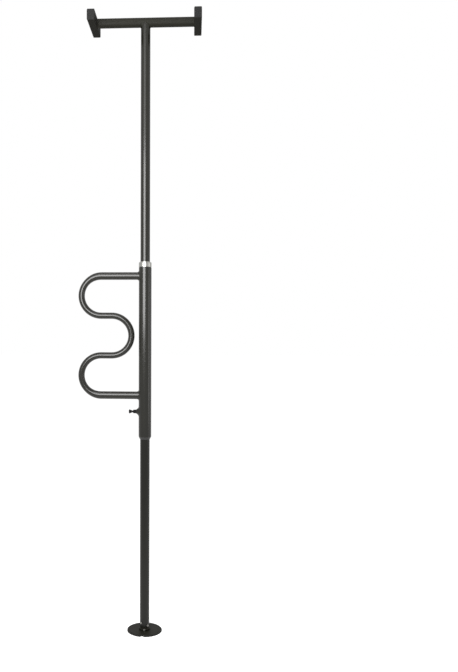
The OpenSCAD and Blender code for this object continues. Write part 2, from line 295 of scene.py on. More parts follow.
# Zinc plate on the foot's fasteners, darker and duller than the bright zinc, with blurred reflections.
DULL_ZINC = Finish(
    name="dull_zinc_plate", slot="zinc_plate",
    colour="#908f8b", cloud_colour="#7f7e7a", cloud_mm=6.0,
    roughness=0.42, roughness_spread=0.07,
    grain=Grain.MOULDED, grain_mm=0.7, grain_depth_mm=0.015, metallic=1.0,
)
# Blackened steel: a thin dark oxide that still lets the metal's gloss through.
BLACK_STEEL = Finish(
    name="blackened_steel", slot="black_steel",
    colour="#070707", cloud_colour="#0d0c0c", cloud_mm=9.0,
    roughness=0.5, roughness_spread=0.05,
    grain=Grain.CROSS_TURNED, grain_mm=0.7, grain_depth_mm=0.01, specular=0.09,
)
# Moulded nylon of the bars' caps: matt black with the even texture of a spark-eroded mould.
NYLON = Finish(
    name="moulded_nylon", slot="nylon",
    colour="#0f0f0e", cloud_colour="#151514", cloud_mm=18.0,
    roughness=0.45, roughness_spread=0.05,
    grain=Grain.MOULDED, grain_mm=0.9, grain_depth_mm=0.02, specular=0.18,
)
# Turned nylon of the bushings: satin black, with faint rings from the lathe.
TURNED_NYLON = Finish(
    name="turned_nylon", slot="nylon",
    colour="#161615", cloud_colour="#1d1d1b", cloud_mm=18.0,
    roughness=0.3, roughness_spread=0.05,
    grain=Grain.TURNED, grain_mm=0.9, grain_depth_mm=0.01, specular=0.5,
)
# Non-slip rubber: dull black with a dusty bloom and a fine moulded grain.
RUBBER = Finish(
    name="non_slip_rubber", slot="rubber",
    colour="#141413", cloud_colour="#22211f", cloud_mm=12.0,
    roughness=0.72, roughness_spread=0.08,
    grain=Grain.MOULDED, grain_mm=1.1, grain_depth_mm=0.06, specular=0.25,
)


def half_size(node: str) -> Vector:
    """Returns half the size of a CAD node's box, in metres."""
    low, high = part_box(node)
    return (high - low) / 2


def middle(node: str) -> Vector:
    """Returns the middle of a CAD node's box, in metres."""
    low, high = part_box(node)
    return (low + high) / 2


def dress(finish: Finish, *nodes: str) -> None:
    """Gives CAD nodes a finish.

    Args:
        finish: The finish.
        *nodes: Names of the nodes.
    """
    for node in nodes:
        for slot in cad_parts[node].material_slots:
            slot.material = finish.material()
        LOG.info("dressed %s in %s", node, finish.name)


def link_piece(
    name: str, mesh: bpy.types.Mesh, finish: Finish, replaced: Iterable[str] = ()
) -> bpy.types.Object:
    """Puts a finished mesh in the scene, shaded smooth.

    Args:
        name: The piece's name.
        mesh: The mesh, in place in the frame.
        finish: Its finish.
        replaced: CAD nodes that it stands for.

    Returns:
        The piece's object.
    """
    mesh.name = name
    mesh.shade_smooth()
    mesh.set_sharp_from_angle(angle=SHARP_ANGLE)
    if not mesh.materials:
        mesh.materials.append(finish.material())
    piece = add_object(name, mesh)
    if replaced:
        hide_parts(*replaced)
    LOG.info("made %s with %d faces", name, len(mesh.polygons))
    return piece


def add_piece(
    name: str, mesh: bpy.types.Mesh, finish: Finish, body: Body, replaced: Iterable[str] = ()
) -> None:
    """Puts a finished mesh in the scene, on the body that it rides on."""
    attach(link_piece(name, mesh, finish, replaced), body.value)


def circle(steps: int) -> list[float]:
    """Gives the angles of even steps round a full turn, in radians."""
    return [2 * math.pi * i / steps for i in range(steps)]


def spoke(angle: float) -> Vector:
    """Gives the level direction at an angle in radians."""
    return Vector((math.cos(angle), math.sin(angle), 0))


def arc(centre: Point, radius: float, start: float, end: float, steps: int = 8) -> list[Point]:
    """Gives points along an arc.

    Args:
        centre: Middle of the arc.
        radius: Its radius.
        start: First angle in degrees.
        end: Last angle in degrees.
        steps: Steps along it.

    Returns:
        The points, both ends included.
    """
    angles = [math.radians(start + (end - start) * i / steps) for i in range(steps + 1)]
    return [(centre[0] + radius * math.cos(a), centre[1] + radius * math.sin(a)) for a in angles]


def ring_mesh(rings: list[list[Vector]]) -> bpy.types.Mesh:
    """Joins closed rings of points into a band that meets itself, as on a torus.

    Args:
        rings: Rings with the same number of points each.

    Returns:
        The band, with its doubles merged and its faces pointing outwards.
    """
    work = bmesh.new()
    made = [[work.verts.new(p) for p in ring] for ring in rings]
    count = len(made[0])
    for i, ring in enumerate(made):
        after = made[(i + 1) % len(made)]
        for j in range(count):
            k = (j + 1) % count
            work.faces.new((ring[j], ring[k], after[k], after[j]))
    bmesh.ops.remove_doubles(work, verts=work.verts, dist=MERGE)
    bmesh.ops.recalc_face_normals(work, faces=work.faces)
    if work.calc_volume(signed=True) < 0:
        bmesh.ops.reverse_faces(work, faces=work.faces)
    mesh = bpy.data.meshes.new("piece")
    work.to_mesh(mesh)
    work.free()
    return mesh


def turned(profile: list[Point], segments: int = 128) -> bpy.types.Mesh:
    """Turns a closed profile about Z.

    Args:
        profile: Radius and height of each corner, in metres, with no radius of zero.
        segments: Steps round the axis.

    Returns:
        The turned mesh.
    """
    spokes = [spoke(a) for a in circle(segments)]
    return ring_mesh([[out * r + Vector((0, 0, z)) for r, z in profile] for out in spokes])


@dataclass(frozen=True)
class Weld:
    """A smooth fillet weld round the end of a tube, under the coat. Lengths are in metres.

    Its root is sunk between the pieces, and its toes bite a little into their surfaces. The local -X points
    along the branch, and the angle round the branch starts at the local Z.
    """

    leg: float = 5.0 * MM
    sink: float = 0.6 * MM
    bite: float = 0.1 * MM
    crown: float = 0.0
    ripple: float = 0.1 * MM
    ripple_pitch: float = 3.5 * MM
    fade: float = 0.9
    fade_power: int = 3
    turns: int = 120
    steps: int = 8
    settle_steps: int = 12

    def mesh(self, section: Callable[[float], Section], girth: float, place: Matrix) -> bpy.types.Mesh:
        """Sweeps a concave fillet round a joint.

        Args:
            section: Gives the weld's section at an angle round the branch.
            girth: Length of the joint's line, which sets the count of ripples.
            place: Turns and moves the local frame into place.

        Returns:
            The fillet as a closed ring.
        """
        ripples = round(girth / self.ripple_pitch)

        def ring(angle: float) -> list[Vector]:
            """Gives one closed section of the fillet.

            Args:
                angle: Angle round the branch.

            Returns:
                Points from toe to toe and back past the root, in place.
            """
            toe, root, foot, out = section(angle)
            swell = self.crown + self.ripple * math.sin(ripples * angle)
            points = []
            for i in range(self.steps + 1):
                t = i / self.steps
                on_curve = toe * (1 - t) ** 2 + root * 2 * t * (1 - t) + foot * t**2
                points.append(on_curve + out * swell * 4 * t * (1 - t))
            return [place @ p for p in [*points, root - out * self.sink]]

        return ring_mesh([ring(a) for a in circle(self.turns)])

    def saddle(self, main_r: float, branch_r: Callable[[float], float], place: Matrix) -> bpy.types.Mesh:
        """Makes the weld of a branch that meets a round tube at a right angle.

        Args:
            main_r: Radius of the tube, whose axis is the local Z.
            branch_r: Radius of the branch at a distance out from that axis.
            place: Turns and moves the local frame into place.

        Returns:
            The weld's mesh.
        """
        def section(angle: float) -> Section:
            """Gives one section of the saddle.

            Args:
                angle: Angle round the branch.

            Returns:
                The toe on the branch, the root, the toe on the tube and the way out.
            """
            out = main_r
            for _ in range(self.settle_steps):
                side = min(abs(branch_r(out) * math.sin(angle)), main_r)
                out = math.sqrt(main_r**2 - side**2)
            around = Vector((0, math.sin(angle), math.cos(angle)))
            root = around * branch_r(out) - Vector((out, 0, 0))
            reach = out + self.leg
            toe = around * (branch_r(reach) - self.bite) - Vector((reach, 0, 0))
            sweep = math.asin(max(-1.0, min(1.0, root.y / main_r)))
            flat = Vector((main_r * sweep, root.z))
            flat += flat.normalized() * self.leg
            turn = flat.x / main_r
            under = main_r - self.bite
            foot = Vector((-under * math.cos(turn), under * math.sin(turn), flat.y))
            # Tubes of equal thickness lie flush at the sides, so the way out comes from how both face.
            facing = Vector((root.x, root.y, 0)).normalized()
            return toe, root, foot, (facing + around).normalized()

        return self.mesh(section, 2 * math.pi * branch_r(main_r), place)

    def butt(self, branch_r: float, place: Matrix) -> bpy.types.Mesh:
        """Makes the weld of a tube that meets a flat face no taller than the tube is thick.

        Args:
            branch_r: Radius of the tube.
            place: Turns and moves the local frame into place.

        Returns:
            The weld's mesh.
        """
        def section(angle: float) -> Section:
            """Gives one section, with the leg fading out at the top and bottom of the face.

            Args:
                angle: Angle round the tube.

            Returns:
                The toe on the tube, the root, the toe on the face and the way out.
            """
            leg = self.leg * (1 - self.fade * abs(math.cos(angle)) ** self.fade_power)
            inward = Vector((1, 0, 0))
            around = Vector((0, math.sin(angle), math.cos(angle)))
            toe = around * (branch_r - self.bite) - inward * leg
            foot = around * (branch_r + leg) + inward * self.bite
            return toe, around * branch_r, foot, (around - inward).normalized()

        return self.mesh(section, 2 * math.pi * branch_r, place)


class GrownTree:
    """A Geometry Nodes tree with named inputs, which is run once and leaves a plain mesh."""

    SOCKETS = {float: "NodeSocketFloat", int: "NodeSocketInt", Vector: "NodeSocketVector"}

    def __init__(self, name: str, sizes: dict[str, float | int | Vector]) -> None:
        """Starts a tree.

        Args:
            name: The tree's name.
            sizes: Named inputs with their values.
        """
        self.tree = bpy.data.node_groups.new(name, "GeometryNodeTree")
        self.sizes = sizes
        self.tree.interface.new_socket("Geometry", in_out="INPUT", socket_type="NodeSocketGeometry")
        self.tree.interface.new_socket("Geometry", in_out="OUTPUT", socket_type="NodeSocketGeometry")
        for size, value in sizes.items():
            self.tree.interface.new_socket(size, in_out="INPUT", socket_type=self.SOCKETS[type(value)])
        self.given = add_node(self.tree, "NodeGroupInput").outputs

    def add(self, kind: str, inputs: Inputs | None = None, **settings: object) -> bpy.types.NodeSocket:
        """Adds a node and returns its first output."""
        return add_node(self.tree, kind, inputs, **settings).outputs[0]

    def placed(self, place: bpy.types.NodeSocket, kind: str, inputs: Inputs) -> bpy.types.NodeSocket:
        """Adds a node that makes a shape, and moves the shape from the origin to a place."""
        shape = self.add(kind, inputs)
        return self.add("GeometryNodeTransform", {"Geometry": shape, "Translation": place})

    def round_tube(self) -> bpy.types.NodeSocket:
        """Sweeps a ring, with the inputs Tube radius and Sides, along the seed's edges.

        Returns:
            The tube, closed at both ends.
        """
        line = self.add("GeometryNodeMeshToCurve", {"Mesh": self.given["Geometry"]})
        ring = self.add(
            "GeometryNodeCurvePrimitiveCircle",
            {"Resolution": self.given["Sides"], "Radius": self.given["Tube radius"]},
        )
        return self.add("GeometryNodeCurveToMesh", {"Curve": line, "Profile Curve": ring, "Fill Caps": True})

    def copies(self, shape: bpy.types.NodeSocket, level: bool = False) -> bpy.types.NodeSocket:
        """Puts a copy of a shape at each point of the seed.

        Args:
            shape: The shape, whose Z goes the way of the point's out attribute.
            level: Whether each copy is then turned so that its X points up.

        Returns:
            The copies.
        """
        out = self.add("GeometryNodeInputNamedAttribute", {"Name": "out"}, data_type="FLOAT_VECTOR")
        turn = self.add("FunctionNodeAlignRotationToVector", {"Vector": out}, axis="Z")
        if level:
            turn = self.add("FunctionNodeAlignRotationToVector", {"Rotation": turn, "Vector": UP}, axis="X")
        return self.add(
            "GeometryNodeInstanceOnPoints",
            {"Points": self.given["Geometry"], "Instance": shape, "Rotation": turn},
        )

    def grow(self, result: bpy.types.NodeSocket, start: bpy.types.Mesh, finish: Finish) -> bpy.types.Mesh:
        """Ends the tree, runs it on a seed mesh and keeps the result as a plain mesh.

        Args:
            result: The geometry that the tree has made.
            start: The seed, which is the mesh that the tree starts from.
            finish: The finish of the result.

        Returns:
            The grown mesh.
        """
        whole = self.add("GeometryNodeRealizeInstances", {0: result})
        coated = self.add("GeometryNodeSetMaterial", {"Geometry": whole, "Material": finish.material()})
        add_node(self.tree, "NodeGroupOutput", {0: coated})
        holder = add_object(self.tree.name, start)
        modifier = holder.modifiers.new(self.tree.name, "NODES")
        modifier.node_group = self.tree
        for item in self.tree.interface.items_tree:
            if item.in_out == "INPUT" and item.name in self.sizes:
                value = self.sizes[item.name]
                modifier[item.identifier] = tuple(value) if isinstance(value, Vector) else value
        grown = bpy.data.meshes.new_from_object(holder.evaluated_get(bpy.context.evaluated_depsgraph_get()))
        holder.modifiers.remove(modifier)
        bpy.data.objects.remove(holder)
        return grown


def seed(points: Sequence[Vector], joined: bool = False, **known: Sequence[Vector]) -> bpy.types.Mesh:
    """Makes the bare mesh that a tree starts from.

    Args:
        points: The vertices.
        joined: Whether an edge joins each vertex to the next.
        **known: Vectors that each vertex carries, by the name of the attribute.

    Returns:
        The seed mesh.
    """
    mesh = bpy.data.meshes.new("seed")
    mesh.from_pydata(points, [(i, i + 1) for i in range(len(points) - 1)] if joined else [], [])
    for name, vectors in known.items():
        attribute = mesh.attributes.new(name, "FLOAT_VECTOR", "POINT")
        for datum, vector in zip(attribute.data, vectors):
            datum.vector = vector
    return mesh


@dataclass
class Foot:
    """Rubber pad, base plate, collar and the fasteners that hold the pole on its spigot.

    Turns are in degrees round the pole, from +X.
    """

    lip: float = 6.0 * MM
    lip_round: float = 2.0 * MM
    inner_round: float = 0.5 * MM
    seat_top: float = 2.0 * MM
    tread_pitch: float = 9.0 * MM
    tread_w: float = 5.4 * MM
    tread_depth: float = 0.8 * MM
    gap_w: float = 12.0 * MM
    gap_turn: float = 265.0
    cutter_h: float = 24.0 * MM
    bolt_d: float = 5.0 * MM
    bolt_rise: float = 4.5 * MM
    bolt_gap: float = 9.5 * MM
    bolt_turn: float = 230.0
    bolt_cross: float = 80.0
    head_share: float = 1.9
    flat_share: float = 0.84
    chamfer_slope: float = 1.7
    chamfer_sides: int = 48
    shank_sides: int = 32
    head_h: float = 3.25 * MM
    nut_h: float = 4.25 * MM
    nut_sink: float = 0.5 * MM
    tip: float = 2.0 * MM
    screw_d: float = 4.5 * MM
    screw_h: float = 2.9 * MM
    screw_sink: float = 0.6 * MM
    screw_turn: float = 270.0

    def build(self) -> None:
        """Makes the foot's pieces and dresses its solids and the lower pole."""
        dress(TEXTURED_COAT, "base_plate", "foot_collar", "foot_spigot")
        # The lower pole gets a darker, duller copy of the coat, as painted shade.
        dress(SHADED_SATIN_COAT, "lower_pole")
        self.build_pad()
        self.build_bolts()
        self.build_collar_screw()

    def build_pad(self) -> None:
        """Makes the rubber pad, with tread rings underneath and a gap in its rounded lip."""
        low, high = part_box("floor_pad")
        radius = half_size("floor_pad").x
        seat_r = radius - self.lip
        profile = arc((radius - self.lip_round, high.z - self.lip_round), self.lip_round, 0, 90)
        profile += arc((seat_r + self.inner_round, high.z - self.inner_round), self.inner_round, 90, 180)
        profile += [(seat_r, self.seat_top), (self.tread_pitch / 2, self.seat_top)]
        rings = int((radius - self.lip_round) / self.tread_pitch)
        roof = low.z + self.tread_depth
        for i in range(rings):
            start = self.tread_pitch * (i + 0.5)
            edge = start + self.tread_w
            profile += [(start, low.z), (edge, low.z), (edge, roof), (start + self.tread_pitch, roof)]
        profile += [(self.tread_pitch * (rings + 0.5), low.z), (radius, low.z)]
        grown = GrownTree(
            "lip_gap",
            {
                "Cutter": Vector((self.cutter_h, self.gap_w, self.cutter_h)),
                "Reach": Vector((seat_r + self.cutter_h / 2, 0, 0)),
                "Turn": Vector((0, 0, math.radians(self.gap_turn))),
            },
        )
        size = grown.given
        cutter = grown.placed(size["Reach"], "GeometryNodeMeshCube", {"Size": size["Cutter"]})
        aimed = grown.add("GeometryNodeTransform", {"Geometry": cutter, "Rotation": size["Turn"]})
        pad = grown.add("GeometryNodeMeshBoolean", {0: size["Geometry"], 1: aimed}, operation="DIFFERENCE")
        mesh = grown.grow(pad, turned(profile), RUBBER)
        add_piece("ribbed_floor_pad", mesh, RUBBER, Body.ROOT, ["floor_pad"])

    def bolt_places(self) -> list[tuple[Vector, Vector]]:
        """Gives the places of the two bolts that cross the pole.

        Returns:
            The middle of each bolt and the direction of its head.
        """
        pole_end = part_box("lower_pole")[0].z
        places = []
        for i in (0, 1):
            height = pole_end + self.bolt_rise + (1 - i) * self.bolt_gap
            out = spoke(math.radians(self.bolt_turn + self.bolt_cross * i))
            places.append((Vector((0, 0, height)), out))
        return places

    def build_bolts(self) -> None:
        """Makes the hex bolts that cross the pole and their nuts."""
        pole_r = half_size("lower_pole").x
        heads = [(place + out * pole_r, out) for place, out in self.bolt_places()]
        nuts = [(place - out * pole_r, -out) for place, out in self.bolt_places()]
        shank = 2 * pole_r + self.nut_h + self.tip
        bolts = self.hex_mesh("hex_bolts", heads, self.bolt_d, self.head_h, shank)
        add_piece("hex_bolts", bolts, DULL_ZINC, Body.ROOT, ["foot_bolts"])
        hex_nuts = self.hex_mesh("hex_nuts", nuts, self.bolt_d, self.nut_h, self.nut_sink)
        add_piece("hex_nuts", hex_nuts, DULL_ZINC, Body.ROOT, ["foot_nuts"])

    def build_collar_screw(self) -> None:
        """Makes the small hex screw in the front of the collar's bead."""
        out = spoke(math.radians(self.screw_turn))
        bead_r = half_size("foot_collar").x
        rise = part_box("foot_collar")[0].z + self.screw_d
        seat = out * (bead_r - self.screw_sink) + Vector((0, 0, rise))
        screw = self.hex_mesh("collar_screw", [(seat, out)], self.screw_d, self.screw_h, self.screw_d)
        add_piece("collar_screw", screw, DULL_ZINC, Body.ROOT)

    def hex_mesh(
        self, name: str, places: list[tuple[Vector, Vector]], size_d: float, height: float, shank: float
    ) -> bpy.types.Mesh:
        """Grows hex heads with chamfered corners at given places.

        Args:
            name: The tree's name.
            places: Each seat and the direction out of it.
            size_d: Diameter of the shank.
            height: Height of the hex.
            shank: Length of the shank below the seat.

        Returns:
            All the fasteners in one mesh.
        """
        corner_r = size_d * self.head_share / 2
        flat_r = corner_r * self.flat_share
        # The cone that chamfers the corners stands proud of the hex at both ends, so that no faces coincide.
        proud = height / 2
        grown = GrownTree(
            name,
            {
                "Corner radius": corner_r, "Height": height, "Hex middle": Vector((0, 0, height / 2)),
                "Cone top radius": flat_r - self.chamfer_slope * proud,
                "Cone bottom radius": flat_r + self.chamfer_slope * (height + proud),
                "Cone height": height + 2 * proud, "Cone bottom": Vector((0, 0, -proud)),
                "Shank radius": size_d / 2, "Shank": shank, "Shank middle": Vector((0, 0, -shank / 2)),
            },
        )
        size = grown.given
        prism = grown.placed(
            size["Hex middle"], "GeometryNodeMeshCylinder",
            {"Vertices": 6, "Radius": size["Corner radius"], "Depth": size["Height"]},
        )
        cone = grown.placed(
            size["Cone bottom"], "GeometryNodeMeshCone",
            {
                "Vertices": self.chamfer_sides, "Radius Top": size["Cone top radius"],
                "Radius Bottom": size["Cone bottom radius"], "Depth": size["Cone height"],
            },
        )
        chamfered = grown.add("GeometryNodeMeshBoolean", {1: [prism, cone]}, operation="INTERSECT")
        rod = grown.placed(
            size["Shank middle"], "GeometryNodeMeshCylinder",
            {"Vertices": self.shank_sides, "Radius": size["Shank radius"], "Depth": size["Shank"]},
        )
        fastener = grown.add("GeometryNodeJoinGeometry", {0: [chamfered, rod]})
        points, outs = zip(*places)
        return grown.grow(grown.copies(fastener), seed(points, out=outs), DULL_ZINC)


@dataclass
class Jack:
    """Screw, ring nut and washer that wedge the pole under the ceiling."""

    pitch: float = 5.0 * MM
    thread_depth: float = 2.3 * MM
    crest_share: float = 0.36
    root_share: float = 0.72
    steps_per_turn: int = 40
    core_sides: int = 64

    def build(self) -> None:
        """Makes the threaded screw and dresses the turned solids and the upper pole."""
        dress(ZINC_PLATE, "jack_plug", "jack_nut", "thrust_washer")
        dress(TURNED_NYLON, "guide_bush")
        dress(POWDER_COAT, "upper_pole")
        add_piece("threaded_screw", self.screw_mesh(), ZINC_PLATE, Body.ROOT, ["jack_screw"])

    def screw_mesh(self) -> bpy.types.Mesh:
        """Grows a core with a trapezoidal thread wound round it.

        Returns:
            The screw's mesh.
        """
        low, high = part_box("jack_screw")
        crest_r = half_size("jack_screw").x
        length = high.z - low.z
        turns = math.floor((length - 2 * self.pitch) / self.pitch)
        grown = GrownTree(
            "jack_thread",
            {
                "Winding radius": crest_r - self.thread_depth / 2,
                "Turns": float(turns), "Rise": turns * self.pitch,
                "Tooth height": self.thread_depth,
                "Root width": self.pitch * self.root_share, "Crest width": self.pitch * self.crest_share,
                "Thread start": Vector((0, 0, low.z + self.pitch)),
                "Core radius": crest_r - self.thread_depth, "Core length": length,
                "Core middle": Vector((0, 0, low.z + length / 2)),
            },
        )
        size = grown.given
        helix = grown.add(
            "GeometryNodeCurveSpiral",
            {
                "Resolution": self.steps_per_turn, "Rotations": size["Turns"], "Height": size["Rise"],
                "Start Radius": size["Winding radius"], "End Radius": size["Winding radius"],
            },
        )
        upright = grown.add("GeometryNodeSetCurveNormal", {"Curve": helix}, mode="Z_UP")
        tooth = grown.add(
            "GeometryNodeCurvePrimitiveQuadrilateral",
            {
                "Height": size["Tooth height"], "Offset": 0.0,
                "Bottom Width": size["Root width"], "Top Width": size["Crest width"],
            },
            mode="TRAPEZOID",
        )
        outward = grown.add("GeometryNodeTransform", {"Geometry": tooth, "Rotation": (0, 0, -math.pi / 2)})
        thread = grown.placed(
            size["Thread start"], "GeometryNodeCurveToMesh",
            {"Curve": upright, "Profile Curve": outward, "Fill Caps": True},
        )
        core = grown.placed(
            size["Core middle"], "GeometryNodeMeshCylinder",
            {"Vertices": self.core_sides, "Radius": size["Core radius"], "Depth": size["Core length"]},
        )
        screw = grown.add("GeometryNodeJoinGeometry", {0: [core, thread]})
        return grown.grow(screw, seed([Vector()]), ZINC_PLATE)


@dataclass
class GrabBar:
    """Sleeve, bushings and the wave-shaped handle welded to the sleeve.

    The handle's tube is round in its two arms and a little flat in the wave, where it was bent.
    """

    wave_run: float = 41.7 * MM
    bends: int = 3
    bend_steps: int = 48
    tube_sides: int = 64
    arm_share: float = 1.02
    flat_share: float = 0.85
    bulge_share: float = 1.04
    ease_share: float = 0.3
    cope_share: float = 1.01
    weld: Weld = Weld(leg=8.0 * MM)

    def __post_init__(self) -> None:
        """Reads the places of the solids."""
        low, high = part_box("curve_handle")
        self.sleeve_r = half_size("grab_sleeve").x
        self.tube_r = half_size("curve_handle").y
        self.bend_r = (high.z - low.z - 2 * self.tube_r) / (2 * self.bends)
        self.outer_x = low.x + self.tube_r + self.bend_r
        self.top = high.z - self.tube_r

    def build(self) -> None:
        """Makes the handle and its welds and dresses the sleeve."""
        dress(POWDER_COAT, "grab_sleeve")
        dress(TURNED_NYLON, "upper_bushing", "lower_bushing")
        add_piece("wave_handle", self.handle_mesh(), POWDER_COAT, Body.GRAB_BAR, ["curve_handle"])
        for name, level in (("upper", 0), ("lower", self.bends)):
            place = Matrix.Translation((0, 0, self.top - 2 * level * self.bend_r))
            bead = self.weld.saddle(self.sleeve_r, lambda out: self.tube_r * self.arm_share, place)
            add_piece(f"{name}_handle_weld", bead, POWDER_COAT, Body.GRAB_BAR)

    def path(self) -> list[Vector]:
        """Gives the wave's middle line.

        Returns:
            Points from the sleeve out, down the bends and back to the sleeve.
        """
        points = [Vector((-self.sleeve_r, 0, self.top))]
        for i in range(self.bends):
            outward = i % 2 == 0
            centre_x = self.outer_x if outward else self.outer_x + self.wave_run
            centre = (centre_x, self.top - (2 * i + 1) * self.bend_r)
            bend = arc(centre, self.bend_r, 90, 270 if outward else -90, self.bend_steps)
            points += [Vector((x, 0, z)) for x, z in bend]
        return points + [Vector((-self.sleeve_r, 0, points[-1].z))]

    def squash(self, index: int, count: int) -> Vector:
        """Gives the shares of the round tube that are left at a point of the path.

        Args:
            index: The point's place in the path.
            count: Number of points in the path.

        Returns:
            The share along each axis.
        """
        from_arm = min(index - 1, count - 2 - index) / (self.ease_share * self.bend_steps)
        t = max(0.0, min(1.0, from_arm))
        bent = t * t * (3 - 2 * t)
        flat = self.arm_share + (self.flat_share - self.arm_share) * bent
        return Vector((flat, self.arm_share + (self.bulge_share - self.arm_share) * bent, flat))

    def handle_mesh(self) -> bpy.types.Mesh:
        """Grows a tube along the wave, flattens its bends and copes its ends to the sleeve.

        Returns:
            The handle's mesh.
        """
        grown = GrownTree(
            "wave_tube",
            {
                "Tube radius": self.tube_r, "Sides": self.tube_sides,
                "Sleeve radius squared": self.sleeve_r**2, "Cope from": -self.cope_share * self.sleeve_r,
            },
        )
        size = grown.given
        here = grown.add("GeometryNodeInputPosition")
        centre = grown.add("GeometryNodeInputNamedAttribute", {"Name": "middle"}, data_type="FLOAT_VECTOR")
        shares = grown.add("GeometryNodeInputNamedAttribute", {"Name": "squash"}, data_type="FLOAT_VECTOR")
        ray = grown.add("ShaderNodeVectorMath", {0: here, 1: centre}, operation="SUBTRACT")
        bent = grown.add("ShaderNodeVectorMath", {0: ray, 1: shares, 2: centre}, operation="MULTIPLY_ADD")
        oval = grown.add("GeometryNodeSetPosition", {"Geometry": grown.round_tube(), "Position": bent})
        # A point at the sleeve is moved along X until it lies on the sleeve's surface.
        place = add_node(grown.tree, "ShaderNodeSeparateXYZ", {0: here}).outputs
        side = grown.add("ShaderNodeMath", {0: place["Y"], 1: place["Y"]}, operation="MULTIPLY")
        left = grown.add("ShaderNodeMath", {0: size["Sleeve radius squared"], 1: side}, operation="SUBTRACT")
        depth = grown.add("ShaderNodeMath", {0: left}, operation="SQRT")
        on_x = grown.add("ShaderNodeMath", {0: depth, 1: -1.0}, operation="MULTIPLY")
        coped = grown.add("ShaderNodeCombineXYZ", {"X": on_x, "Y": place["Y"], "Z": place["Z"]})
        near = grown.add("ShaderNodeMath", {0: place["X"], 1: size["Cope from"]}, operation="GREATER_THAN")
        handle = grown.add(
            "GeometryNodeSetPosition", {"Geometry": oval, "Selection": near, "Position": coped}
        )
        points = self.path()
        squash = [self.squash(i, len(points)) for i in range(len(points))]
        return grown.grow(handle, seed(points, joined=True, middle=points, squash=squash), POWDER_COAT)


@dataclass
class Plunger:
    """Spring plunger under the handle: welded boss, barrel, coil spring, pin and pull knob."""

    weld: Weld = Weld(leg=9.0 * MM, ripple_pitch=2.5 * MM)
    skirt_r: float = 16.5 * MM
    neck_r: float = 8.8 * MM
    skirt_depth: float = 6.0 * MM
    wire_d: float = 0.9 * MM
    wire_sides: int = 16
    coil_turns: int = 5
    closed_turns: float = 0.75
    closed_pitch: float = 0.97 * MM
    steps_per_turn: int = 32

    def build(self) -> None:
        """Dresses the plunger, welds its boss to the sleeve and winds its spring."""
        dress(POWDER_COAT, "plunger_boss")
        dress(BLACK_STEEL, "plunger_barrel", "plunger_pin", "plunger_knob")
        self.build_weld()
        self.build_spring()

    def build_weld(self) -> None:
        """Makes the weld round the boss, which follows its taper."""
        sleeve_r = half_size("grab_sleeve").x
        boss_end = -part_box("plunger_boss")[0].x
        skirt_at = sleeve_r - self.skirt_depth
        fall = (self.skirt_r - self.neck_r) / (boss_end - skirt_at)
        place = Matrix.Translation((0, 0, middle("plunger_boss").z))
        bead = self.weld.saddle(sleeve_r, lambda out: self.skirt_r - fall * (out - skirt_at), place)
        add_piece("plunger_weld", bead, POWDER_COAT, Body.GRAB_BAR)

    def coil_path(self) -> list[Vector]:
        """Gives the middle line of the spring's wire, whose end turns are closed.

        Returns:
            Points from the barrel's cap to the pin's shoulder.
        """
        low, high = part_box("plunger_spring")
        axis = middle("plunger_spring")
        coil_r = half_size("plunger_spring").y - self.wire_d / 2
        open_turns = self.coil_turns - 2 * self.closed_turns
        spread = (high.x - low.x - self.wire_d - self.coil_turns * self.closed_pitch) / open_turns
        points = []
        for i in range(self.coil_turns * self.steps_per_turn + 1):
            turns = i / self.steps_per_turn
            opened = max(0.0, min(open_turns, turns - self.closed_turns))
            x = low.x + self.wire_d / 2 + turns * self.closed_pitch + opened * spread
            angle = 2 * math.pi * turns
            points.append(Vector((x, axis.y + coil_r * math.cos(angle), axis.z + coil_r * math.sin(angle))))
        return points

    def build_spring(self) -> None:
        """Winds the coil spring between the barrel's cap and the pin's shoulder."""
        grown = GrownTree("coil_wire", {"Tube radius": self.wire_d / 2, "Sides": self.wire_sides})
        points = self.coil_path()
        mesh = grown.grow(grown.round_tube(), seed(points, joined=True), ZINC_PLATE)
        spring = link_piece("coil_spring", mesh, ZINC_PLATE, ["plunger_spring"])
        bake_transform(spring)


